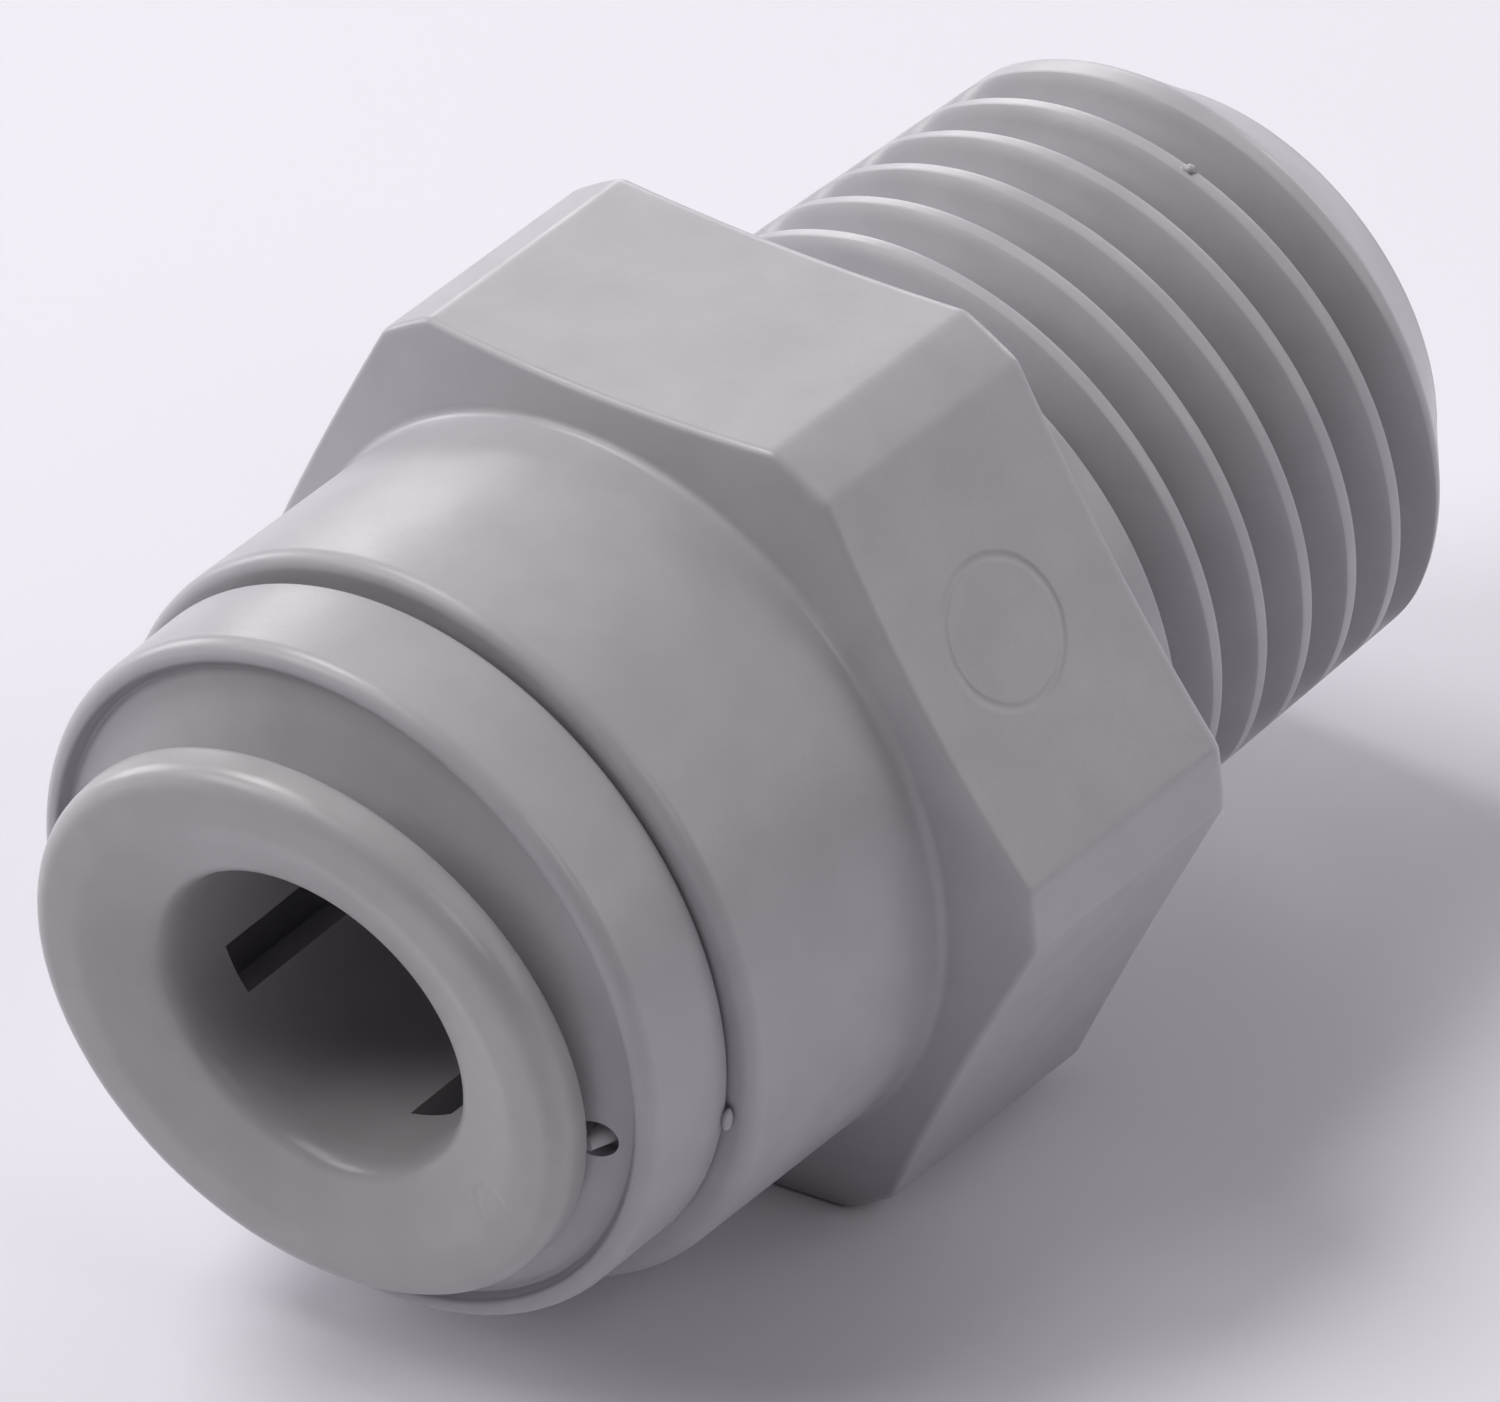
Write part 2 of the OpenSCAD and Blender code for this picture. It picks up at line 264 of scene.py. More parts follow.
def soft_min(a, b, width):
    """The smaller of a and b, with the corner between them rounded over about width."""
    return np.minimum(a, b) - width * np.log1p(np.exp(-np.abs(a - b) / width))


def grid_faces(rows, cols, wrap_cols=True):
    """Quads of a grid, as rows of four indices. The last row meets the first, and the columns may too."""
    i = np.arange(rows)
    j = np.arange(cols if wrap_cols else cols - 1)
    i, j = (a.ravel() for a in np.meshgrid(i, j, indexing="ij"))
    down, right = (i + 1) % rows, (j + 1) % cols
    return np.stack([i * cols + j, i * cols + right, down * cols + right, down * cols + j], -1)


def mesh_of(name, points, faces):
    """A mesh of rows of points and faces."""
    mesh = bpy.data.meshes.new(name)
    mesh.from_pydata(points.tolist(), [], faces.tolist())
    return mesh


def linked(name, data):
    """An object made of the data and put into the scene."""
    obj = bpy.data.objects.new(name, data)
    bpy.context.scene.collection.objects.link(obj)
    return obj


def only_material(mesh, material):
    """Leaves one material on a mesh."""
    mesh.materials.clear()
    mesh.materials.append(material)


def piece(name, mesh, material, body, nodes, sharp=38.0):
    """A closed, smooth-shaded mesh that rides on a body and stands for its solids."""
    work = bmesh.new()
    work.from_mesh(mesh)
    bmesh.ops.remove_doubles(work, verts=work.verts, dist=WELD * MM)
    bmesh.ops.recalc_face_normals(work, faces=work.faces)
    work.to_mesh(mesh)
    work.free()
    mesh.name = name
    for mark in [a for a in mesh.attributes if a.name == "threaded"]:
        mesh.attributes.remove(mark)
    mesh.shade_smooth()
    mesh.set_sharp_from_angle(angle=math.radians(sharp))
    obj = linked(name, mesh)
    only_material(mesh, material)
    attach(obj, body)
    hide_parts(*nodes)


# shader groups

NUMBER = "NodeSocketFloat"
# detail in repeats to the metre, and how high it stands in mm
WAVE_SCALE = 260.0
WAVE_HEIGHT = 0.06
GRAIN_SCALE = 9000.0
GRAIN_HEIGHT = 0.0035
MOTTLE_SCALE = 900.0
GLOSS_SCALE = 420.0
RAGGED_SCALE = 2500.0
STRIP_SCALE = 6000.0
FLOOR_SCALE = 25.0
# most of a noise lies between these
NOISE_SPAN = (0.3, 0.7)
PLASTIC_IOR = 1.48
# the share of light that goes in and comes out again, how far each colour does so, and the depth in mm
SUBSURFACE_SHARE = 0.06
SUBSURFACE_SPREAD = (1.0, 0.95, 0.9)
SUBSURFACE_DEPTH = 0.4


def group(name, inputs, outputs):
    """An empty shader group with the given sockets; returns it with its input and output nodes."""
    tree = bpy.data.node_groups.new(name, "ShaderNodeTree")
    for direction, sockets in (("INPUT", inputs), ("OUTPUT", outputs)):
        for label, kind, default in sockets:
            socket = tree.interface.new_socket(name=label, in_out=direction, socket_type=kind)
            if default is not None:
                socket.default_value = default
    return tree, tree.nodes.new("NodeGroupInput"), tree.nodes.new("NodeGroupOutput")


def node(tree, kind, links=(), **values):
    """A node with its properties set, and its inputs set or linked by socket name."""
    made = tree.nodes.new(kind)
    for key, value in values.items():
        setattr(made, key, value)
    for socket, source in links:
        if isinstance(source, bpy.types.NodeSocket):
            tree.links.new(source, made.inputs[socket])
        else:
            made.inputs[socket].default_value = source
    return made


def maths(tree, operation, *terms):
    """The result of one step of arithmetic on numbers or sockets."""
    return node(tree, "ShaderNodeMath", list(enumerate(terms)), operation=operation).outputs[0]


def ramp(tree, value, low, high, out_low=0.0, out_high=1.0):
    """value from low to high, mapped smoothly to out_low to out_high."""
    limits = [("From Min", low), ("From Max", high), ("To Min", out_low), ("To Max", out_high)]
    made = node(tree, "ShaderNodeMapRange", [("Value", value), *limits], interpolation_type="SMOOTHSTEP")
    return made.outputs["Result"]


def noise(tree, vector, scale, detail=3.0, rough=0.5):
    """Noise about one half, of that scale at each place."""
    given = [("Vector", vector), ("Scale", scale), ("Detail", detail), ("Roughness", rough)]
    return node(tree, "ShaderNodeTexNoise", given).outputs["Fac"]


def object_place(tree):
    """The place on the object that is being shaded."""
    return tree.nodes.new("ShaderNodeTexCoord").outputs["Object"]


def moulded_skin_group():
    """Slow waviness from shrinkage, fine satin grain and faint mottling of a moulded surface."""
    tree, source, sink = group(
        "moulded_skin",
        [("Waviness", NUMBER, 1.0), ("Grain", NUMBER, 1.0)],
        [("Mottle", NUMBER, None), ("Height", NUMBER, None), ("Satin", NUMBER, None)])
    calc = partial(maths, tree)
    where = object_place(tree)
    slow = noise(tree, where, WAVE_SCALE, detail=2.0)
    fine = noise(tree, where, GRAIN_SCALE, detail=4.0, rough=0.6)
    waves = calc("MULTIPLY", calc("MULTIPLY", slow, source.outputs["Waviness"]), WAVE_HEIGHT)
    grain = calc("MULTIPLY", calc("MULTIPLY", fine, source.outputs["Grain"]), GRAIN_HEIGHT)
    tree.links.new(calc("ADD", waves, grain), sink.inputs["Height"])
    tree.links.new(ramp(tree, noise(tree, where, MOTTLE_SCALE), *NOISE_SPAN), sink.inputs["Mottle"])
    tree.links.new(ramp(tree, noise(tree, where, GLOSS_SCALE), *NOISE_SPAN), sink.inputs["Satin"])
    return tree


def round_mark_group():
    """A round place on a surface: a mask of what lies inside it and one of its rim. All in metres."""
    tree, source, sink = group(
        "round_mark",
        [("Centre", "NodeSocketVector", None), ("Radius", NUMBER, MM), ("Rim", NUMBER, 0.1 * MM),
         ("Uneven", NUMBER, 0.0)],
        [("Inside", NUMBER, None), ("Edge", NUMBER, None)])
    given = source.outputs
    calc = partial(maths, tree)
    where = object_place(tree)
    ends = [(0, where), (1, given["Centre"])]
    away = node(tree, "ShaderNodeVectorMath", ends, operation="DISTANCE").outputs["Value"]
    stray = calc("SUBTRACT", noise(tree, where, RAGGED_SCALE, detail=4.0), 0.5)
    away = calc("ADD", away, calc("MULTIPLY", stray, given["Uneven"]))
    outer, inner = (calc(sign, given["Radius"], given["Rim"]) for sign in ("ADD", "SUBTRACT"))
    inside = ramp(tree, away, outer, inner)
    # this is one in the middle of the rim and zero on both sides of it
    edge = calc("MULTIPLY", calc("MULTIPLY", inside, calc("SUBTRACT", 1.0, inside)), 4.0)
    tree.links.new(inside, sink.inputs["Inside"])
    tree.links.new(edge, sink.inputs["Edge"])
    return tree


SKIN = moulded_skin_group()
ROUND_MARK = round_mark_group()


def use_group(tree, made, **values):
    """A shader group put into a tree, with its inputs set by name."""
    used = tree.nodes.new("ShaderNodeGroup")
    used.node_tree = made
    for key, value in values.items():
        used.inputs[key].default_value = value
    return used.outputs


def new_material(name):
    """A material, its tree and its main shader."""
    material = bpy.data.materials.new(name)
    material.use_nodes = True
    return material, material.node_tree, material.node_tree.nodes["Principled BSDF"]


def two_tones(tree, shader, share, dark, light):
    """Colours the shader from dark to light with the share."""
    tone = node(tree, "ShaderNodeMix", [(0, share), (6, (*dark, 1)), (7, (*light, 1))], data_type="RGBA")
    tree.links.new(tone.outputs[2], shader.inputs["Base Color"])


def raised(tree, shader, height):
    """Lets the shader's surface look raised by that height in mm."""
    bump = node(tree, "ShaderNodeBump", [("Height", height), ("Distance", MM), ("Strength", 1.0)])
    tree.links.new(bump.outputs[0], shader.inputs["Normal"])


def pressed(tree, height, mark):
    """The height with a round mark pressed in: its inside by the depth, its rim by the groove."""
    found = use_group(tree, ROUND_MARK, Centre=mark["at"], Radius=mark["radius"] * MM, Rim=mark["rim"] * MM,
                      Uneven=mark["uneven"] * MM)
    for part, sunk in (("Inside", mark["depth"]), ("Edge", mark["groove"])):
        height = maths(tree, "SUBTRACT", height, maths(tree, "MULTIPLY", found[part], sunk))
    return height


def plastic(name, light, dark, rough, marks=()):
    """Satin moulded acetal: two close tones that mottle, varying gloss, faint grain and pressed-in marks."""
    material, tree, shader = new_material(name)
    skin = use_group(tree, SKIN, Waviness=1.0, Grain=1.0)
    two_tones(tree, shader, skin["Mottle"], dark, light)
    tree.links.new(ramp(tree, skin["Satin"], 0.0, 1.0, *rough), shader.inputs["Roughness"])
    height = skin["Height"]
    for mark in marks:
        height = pressed(tree, height, mark)
    raised(tree, shader, height)
    shader.inputs["IOR"].default_value = PLASTIC_IOR
    shader.inputs["Subsurface Weight"].default_value = SUBSURFACE_SHARE
    shader.inputs["Subsurface Radius"].default_value = SUBSURFACE_SPREAD
    shader.inputs["Subsurface Scale"].default_value = SUBSURFACE_DEPTH * MM
    return material


def steel(name, light, dark, rough):
    """Bright rolled strip with a finely uneven tone and gloss."""
    material, tree, shader = new_material(name)
    uneven = noise(tree, object_place(tree), STRIP_SCALE)
    two_tones(tree, shader, uneven, dark, light)
    tree.links.new(ramp(tree, uneven, *NOISE_SPAN, *rough), shader.inputs["Roughness"])
    shader.inputs["Metallic"].default_value = 1.0
    return material


def rubber(name, light, dark, rough):
    """Dark moulded seal with a dull, slightly dusty skin."""
    material, tree, shader = new_material(name)
    skin = use_group(tree, SKIN, Waviness=0.4, Grain=2.0)
    two_tones(tree, shader, skin["Mottle"], dark, light)
    tree.links.new(ramp(tree, skin["Satin"], 0.0, 1.0, *rough), shader.inputs["Roughness"])
    raised(tree, shader, skin["Height"])
    return material


# the round mould mark on one flat, and a small scuff on the collet's face: middle in metres, the rest in mm
PIN_MARK = {"at": spot(7.286, -3.22, 4.38), "radius": 1.42, "rim": 0.13, "uneven": 0.05,
            "depth": 0.01, "groove": 0.016}
FACE_SCUFF = {"at": spot(4.11, -15.12, -2.6), "radius": 0.36, "rim": 0.14, "uneven": 0.3,
              "depth": 0.008, "groove": 0.01}

BODY_PLASTIC = plastic("body_plastic", light=(0.45, 0.437, 0.463), dark=(0.427, 0.414, 0.44),
                       rough=(0.31, 0.39), marks=[PIN_MARK])
CAP_PLASTIC = plastic("cap_plastic", light=(0.46, 0.446, 0.472), dark=(0.437, 0.423, 0.45),
                      rough=(0.29, 0.37))
COLLET_PLASTIC = plastic("collet_plastic", light=(0.44, 0.428, 0.437), dark=(0.418, 0.405, 0.414),
                         rough=(0.285, 0.345), marks=[FACE_SCUFF])
STEEL = steel("tooth_strip", light=(0.68, 0.68, 0.69), dark=(0.55, 0.55, 0.56), rough=(0.22, 0.36))
RUBBER = rubber("seal_ring_rubber", light=(0.02, 0.02, 0.021), dark=(0.012, 0.012, 0.013),
                rough=(0.45, 0.6))


# shapes that follow a rule

def shape_tree(name, inputs):
    """An empty geometry tree with a mesh going in and out, and named inputs."""
    tree = bpy.data.node_groups.new(name, "GeometryNodeTree")
    tree.interface.new_socket(name="Mesh", in_out="INPUT", socket_type="NodeSocketGeometry")
    for label, kind, default in inputs:
        socket = tree.interface.new_socket(name=label, in_out="INPUT", socket_type=kind)
        if default is not None:
            socket.default_value = default
    tree.interface.new_socket(name="Mesh", in_out="OUTPUT", socket_type="NodeSocketGeometry")
    return tree, tree.nodes.new("NodeGroupInput").outputs, tree.nodes.new("NodeGroupOutput").inputs


def finish_tree(tree, mesh, material, sink):
    """Instances made real and the material set, as the last two steps of a tree."""
    real = node(tree, "GeometryNodeRealizeInstances", [(0, mesh)]).outputs[0]
    done = node(tree, "GeometryNodeSetMaterial", [("Geometry", real), ("Material", material)]).outputs[0]
    tree.links.new(done, sink[0])


def plain_mesh(obj, *tools):
    """The plain mesh that an object's modifiers make. The object and its tools are taken away."""
    whole = obj.evaluated_get(bpy.context.evaluated_depsgraph_get())
    result = bpy.data.meshes.new_from_object(whole)
    obj.modifiers.clear()
    for used in (obj, *tools):
        bpy.data.objects.remove(used)
    return result


def grown(name, mesh, tree, **values):
    """The plain mesh that a tree makes of a mesh, with the tree's inputs set by name."""
    obj = linked(name, mesh)
    modifier = obj.modifiers.new(name, "NODES")
    modifier.node_group = tree
    for item in tree.interface.items_tree:
        label = item.name.replace(" ", "_").lower()
        if item.in_out == "INPUT" and label in values:
            modifier[item.identifier] = values[label]
    return plain_mesh(obj)


def carved(mesh, steps):
    """The mesh with small solids cut away or joined on, one after another."""
    base = linked("carved", mesh)
    tools = []
    for operation, shape in steps:
        tool = linked("tool", shape)
        modifier = base.modifiers.new(operation, "BOOLEAN")
        modifier.operation, modifier.solver, modifier.object = operation, "EXACT", tool
        tools.append(tool)
    return plain_mesh(base, *tools)


def tool_mesh(name, build, centre, turn, **sizes):
    """A small closed mesh about a place, made by one of bmesh's shapes."""
    work = bmesh.new()
    build(work, matrix=Matrix.Translation(Vector(centre)) @ turn, **sizes)
    mesh = bpy.data.meshes.new(name)
    work.to_mesh(mesh)
    work.free()
    return mesh


def stub(name, centre, back_radius, front_radius, length):
    """A short cone along the axis, its front towards the collet."""
    turn = Matrix.Rotation(math.pi / 2, 4, "X")
    return tool_mesh(name, bmesh.ops.create_cone, centre, turn, cap_ends=True, segments=48,
                     radius1=back_radius * MM, radius2=front_radius * MM, depth=length * MM)


def bead(name, centre, degrees, halves):
    """An egg-shaped bead, its half lengths given outwards at that angle, along the axis and round it."""
    stretch = Matrix.Diagonal((*(half * MM for half in halves), 1.0))
    turn = Matrix.Rotation(-math.radians(degrees), 4, "Y") @ stretch
    return tool_mesh(name, bmesh.ops.create_icosphere, centre, turn, subdivisions=3, radius=1.0)


def scaled(tree, vector, factor):
    """A vector times a number."""
    given = [(0, vector), ("Scale", factor)]
    return node(tree, "ShaderNodeVectorMath", given, operation="SCALE").outputs[0]


def vector_of(tree, x=0.0, y=0.0, z=0.0):
    """A vector from its three parts."""
    return node(tree, "ShaderNodeCombineXYZ", [(0, x), (1, y), (2, z)]).outputs[0]


def thread_inputs():
    """The thread's named inputs, with the sizes that they start from."""
    sizes = {
        "Crest Radius": THREAD_R, "Taper": TAPER, "Pitch": PITCH, "Crest Width": CREST_W,
        "Groove Depth": THREAD_DEPTH, "Flank": FLANK, "Phase": CREST_PHASE, "Length": THREAD_LEN,
        "Tip Radius": TIP_R, "Lead Length": LEAD_LEN, "Fade Length": FADE_LEN, "Crest Softness": CREST_SOFT,
        "Root Softness": ROOT_SOFT, "Lead Softness": LEAD_SOFT, "Parting Angle": PARTING,
        "Filled To": PARTING_FULL, "Clear From": PARTING_CLEAR, "Parting Drop": PARTING_DROP,
        "Start Middle": START_MIDDLE, "Start Full": START_FULL, "Start Clear": START_CLEAR,
        "Shoulder": 0.0, "Axis Height": AXIS_H}
    numbers = [(label, NUMBER, size) for label, size in sizes.items()]
    return numbers + [("Material", "NodeSocketMaterial", None)]


def groove_drop(calc, given, turns, along, lead_from):
    """How far the surface lies below the crests, which dies out in front of the lead-in."""
    from_crest = calc("MULTIPLY", calc("PINGPONG", turns, 0.5), given["Pitch"])
    past_crest = calc("SUBTRACT", from_crest, calc("MULTIPLY", given["Crest Width"], 0.5))
    drop = calc("SMOOTH_MAX", calc("DIVIDE", past_crest, given["Flank"]), 0.0, given["Crest Softness"])
    to_groove = calc("MULTIPLY", calc("SUBTRACT", 0.5, calc("FRACT", turns)), given["Pitch"])
    before_lead = calc("SUBTRACT", lead_from, calc("ADD", along, to_groove))
    kept = calc("DIVIDE", before_lead, given["Fade Length"])
    kept = calc("MAXIMUM", calc("MINIMUM", kept, 1.0), 0.0)
    deepest = calc("MULTIPLY", given["Groove Depth"], kept)
    return calc("SMOOTH_MIN", drop, deepest, calc("MULTIPLY", given["Root Softness"], kept))


def filled_drop(tree, given, drop, turns, angle):
    """The drop where the mould left the groove filled: beside the shoulder, and along the parting plane."""
    calc = partial(maths, tree)
    off_start = calc("ABSOLUTE", calc("SUBTRACT", angle, given["Start Middle"]))
    full = ramp(tree, off_start, given["Start Clear"], given["Start Full"])
    full = calc("MULTIPLY", calc("LESS_THAN", turns, 1.0), full)
    drop = calc("MULTIPLY", drop, calc("SUBTRACT", 1.0, full))
    off_plane = calc("ABSOLUTE", calc("SINE", calc("SUBTRACT", angle, given["Parting Angle"])))
    clear = ramp(tree, off_plane, given["Filled To"], given["Clear From"])
    left = calc("MULTIPLY", calc("SUBTRACT", 1.0, clear), given["Parting Drop"])
    return calc("MULTIPLY_ADD", drop, clear, left)


def lead_radius(calc, given, along, lead_from):
    """Radius of the lead-in's cone at each place."""
    start = calc("SUBTRACT", given["Crest Radius"], calc("MULTIPLY", lead_from, given["Taper"]))
    slope = calc("DIVIDE", calc("SUBTRACT", start, given["Tip Radius"]), given["Lead Length"])
    return calc("MULTIPLY_ADD", calc("SUBTRACT", given["Length"], along), slope, given["Tip Radius"])


def thread_tree():
    """Moves the points marked as threaded to the radius of crests and grooves on a taper. It works in mm."""
    tree, given, sink = shape_tree("tapered_thread", thread_inputs())
    calc = partial(maths, tree)
    position = tree.nodes.new("GeometryNodeInputPosition").outputs[0]
    across, row, up = node(tree, "ShaderNodeSeparateXYZ", [(0, scaled(tree, position, 1 / MM))]).outputs
    along = calc("SUBTRACT", row, given["Shoulder"])
    angle = calc("ARCTAN2", calc("SUBTRACT", up, given["Axis Height"]), across)
    pitches = calc("DIVIDE", calc("SUBTRACT", along, given["Phase"]), given["Pitch"])
    turns = calc("ADD", pitches, calc("DIVIDE", angle, TURN))
    lead_from = calc("SUBTRACT", given["Length"], given["Lead Length"])
    drop = groove_drop(calc, given, turns, along, lead_from)
    drop = filled_drop(tree, given, drop, turns, angle)
    crest = calc("SUBTRACT", given["Crest Radius"], calc("MULTIPLY", along, given["Taper"]))
    lead = lead_radius(calc, given, along, lead_from)
    radius = calc("SMOOTH_MIN", calc("SUBTRACT", crest, drop), lead, given["Lead Softness"])
    aside = calc("MULTIPLY", radius, calc("COSINE", angle))
    height = calc("MULTIPLY_ADD", radius, calc("SINE", angle), given["Axis Height"])
    moved = scaled(tree, vector_of(tree, aside, row, height), MM)
    marked = node(tree, "GeometryNodeInputNamedAttribute", [("Name", "threaded")], data_type="BOOLEAN")
    moves = [("Geometry", given["Mesh"]), ("Selection", marked.outputs[0]), ("Position", moved)]
    shaped = node(tree, "GeometryNodeSetPosition", moves).outputs[0]
    finish_tree(tree, shaped, given["Material"], sink)
    return tree


def ring_tree():
    """Repeats a mesh round the fitting's axis and welds the copies where they meet."""
    tree, given, sink = shape_tree("finger_ring", [
        ("Count", "NodeSocketInt", FINGERS), ("Axis Height", NUMBER, AXIS_H),
        ("Weld Distance", NUMBER, FINGER_WELD), ("Material", "NodeSocketMaterial", None)])
    calc = partial(maths, tree)
    centre = vector_of(tree, z=calc("MULTIPLY", given["Axis Height"], MM))
    spots = node(tree, "GeometryNodePoints", [("Count", given["Count"]), ("Position", centre)]).outputs[0]
    step = calc("DIVIDE", TURN, given["Count"])
    spin = vector_of(tree, y=calc("MULTIPLY", tree.nodes.new("GeometryNodeInputIndex").outputs[0], step))
    copies = [("Points", spots), ("Instance", given["Mesh"]), ("Rotation", spin)]
    ring = node(tree, "GeometryNodeInstanceOnPoints", copies).outputs[0]
    real = node(tree, "GeometryNodeRealizeInstances", [(0, ring)]).outputs[0]
    weld = calc("MULTIPLY", given["Weld Distance"], MM)
    welded = node(tree, "GeometryNodeMergeByDistance", [("Geometry", real), ("Distance", weld)]).outputs[0]
    finish_tree(tree, welded, given["Material"], sink)
    return tree


# body

HEX_STEP = 60.0
HEX_FLATS = [HEX_STEP / 2 + HEX_STEP * k for k in range(6)]


def hex_radius(theta):
    """Radius of the hexagon's side with its turned corners, at each angle."""
    away = (np.degrees(theta) - HEX_FLATS[0] + HEX_STEP / 2) % HEX_STEP - HEX_STEP / 2
    flat = HEX_FLAT_R / np.cos(np.radians(away))
    return soft_min(flat, np.full_like(flat, HEX_CORNER_R), CORNER_BLEND)


def hex_columns(base=240, near=9, spread=1.6, closest=0.12):
    """Angles round the body, packed closer at the twelve edges beside the hexagon's corners."""
    half = math.degrees(math.acos(HEX_FLAT_R / HEX_CORNER_R))
    even = np.arange(base) * 360.0 / base
    close = [flat + side * half + spread * t for flat in HEX_FLATS for side in (-1, 1)
             for t in np.linspace(-1, 1, near)]
    found = np.unique(np.round(np.concatenate([even, np.array(close) % 360.0]), 3))
    keep = found[np.concatenate([[True], np.diff(found) > closest])]
    return np.radians(np.append(keep, keep[0] + 360.0))


class Rows:
    """Rings of points from the front of the body's outside round to its bore, one row each."""

    def __init__(self, theta):
        self.theta, self.one = theta, np.ones_like(theta)
        self.radius, self.z, self.threaded = [], [], []

    def add(self, radius, z, threaded=False):
        self.radius.append(radius * self.one)
        self.z.append(z * self.one)
        self.threaded.append(threaded)

    def add_all(self, pairs):
        for radius, z in pairs:
            self.add(radius, z)


def barrel_rows(rows, front_in):
    """Front face, its rounded edge, the barrel and the fillet at the hexagon."""
    rows.add(front_in, BARREL_FRONT)
    rows.add_all(arc(BARREL_R - BARREL_ROUND, BARREL_FRONT + BARREL_ROUND, BARREL_ROUND, -90, 0))
    front, back = BARREL_FRONT + BARREL_ROUND + CLOSE, -HEX_LEN - BARREL_FILLET - CLOSE
    rows.add_all([(BARREL_R, z) for z in (front, *BARREL_ROWS, back)])
    rows.add_all(arc(BARREL_R + BARREL_FILLET, -HEX_LEN - BARREL_FILLET, BARREL_FILLET, 180, 90))


def hexagon_rows(rows, side):
    """Conical front face, softened front edge, sides, softened back edge and slightly hollow back face."""
    foot = BARREL_R + BARREL_FILLET
    slope = HEX_FRONT_FALL / (HEX_CORNER_R - foot)
    tilt = math.atan(slope)
    edge_in = side - HEX_EDGE
    reach = edge_in + HEX_EDGE * math.sin(tilt) - foot
    for share in HEX_FRONT_SHARES:
        rows.add(foot + reach * share, -HEX_LEN + slope * reach * share)
    edge_z = -HEX_LEN + slope * (edge_in - foot) + HEX_EDGE / math.cos(tilt)
    for angle in np.linspace(tilt - math.pi / 2, 0, 6)[1:]:
        rows.add(edge_in + HEX_EDGE * math.cos(angle), edge_z + HEX_EDGE * math.sin(angle))
    back = np.interp(side, [HEX_FLAT_R, HEX_CORNER_R], [HEX_BACK_FLAT, HEX_BACK_CORNER])
    side_end = back - HEX_BACK_EDGE
    for share in HEX_SIDE_SHARES:
        rows.add(side, edge_z + (side_end - edge_z) * share)
    for angle in np.linspace(0, math.pi / 2, 7):
        rows.add(side - HEX_BACK_EDGE * (1 - math.cos(angle)), side_end + HEX_BACK_EDGE * math.sin(angle))
    rows.add(side - HEX_BACK_EDGE - CLOSE, back)
    rows.add(THREAD_R + SHOULDER_GAP, 0.0)


def thread_rows(rows):
    """Rows that run with the helix; the tree gives them their radius."""
    steps = CREST_STEPS + [PITCH / 2] + [PITCH - step for step in reversed(CREST_STEPS[1:])]
    for start in np.arange(-1, int(THREAD_LEN / PITCH) + 3) * PITCH:
        for step in steps:
            z = CREST_PHASE + start + step + PITCH * (1 - rows.theta / TURN)
            rows.add(THREAD_R, np.clip(z, 0.0, THREAD_LEN - TIP_EDGE), True)


def bore_rows(rows, front_in):
    """Thread's end face, waterway, tube stop, bore, seal's seat, finger chamber and the snap groove."""
    rows.add_all(arc(TIP_R - CLOSE, THREAD_LEN - TIP_EDGE, TIP_EDGE, 45, 90, 4))
    mouth_r = WATER_R + WATER_CHAMFER
    rows.add_all([(r, THREAD_LEN) for r in (TIP_R - 2 * TIP_EDGE, END_MIDDLE_R, mouth_r + CLOSE, mouth_r)])
    rows.add_all([(WATER_R, z) for z in (THREAD_LEN - WATER_CHAMFER, STOP_Z + CLOSE, STOP_Z)])
    rows.add_all([(BORE_R, STOP_Z), (BORE_R, SEAL_BACK)])
    rows.add_all([(SEAL_SEAT_R, SEAL_BACK), (SEAL_SEAT_R, SEAL_FRONT)])
    skirt_stop = SKIRT_END + FIT_CLEAR
    rows.add_all([(CHAMBER_R, SEAL_FRONT), (CHAMBER_R, skirt_stop), (front_in, skirt_stop)])
    snap_r, snap_front = front_in + BEAD_H, BEAD_Z - FIT_CLEAR
    rows.add_all([(front_in, BEAD_Z + BEAD_RAMP), (snap_r, BEAD_Z + BEAD_H / 2)])
    rows.add_all([(snap_r, snap_front), (front_in, snap_front)])


def build_body():
    """Barrel, hexagon, thread and bore in one closed skin, with a burr on one crest."""
    theta = hex_columns()
    rows = Rows(theta)
    front_in = SKIRT_R + FIT_CLEAR
    barrel_rows(rows, front_in)
    hexagon_rows(rows, hex_radius(theta))
    thread_rows(rows)
    bore_rows(rows, front_in)
    points = place(np.array(rows.radius), np.array(rows.z), theta[None, :]).reshape(-1, 3)
    mesh = mesh_of("body_rows", points, grid_faces(len(rows.z), len(theta), wrap_cols=False))
    mark = mesh.attributes.new("threaded", "BOOLEAN", "POINT")
    mark.data.foreach_set("value", np.repeat(rows.threaded, len(theta)))
    formed = grown("body_blank", mesh, thread_tree(), shoulder=shoulder_y, material=BODY_PLASTIC)
    burr = bead("crest_burr", on_round(BURR_R, BURR_Z, BURR_TURN), 0.0, BURR_HALVES)
    formed = carved(formed, [("UNION", burr)])
    piece("body_moulding", formed, BODY_PLASTIC, "fitting", ["body"], sharp=28.0)


# cap

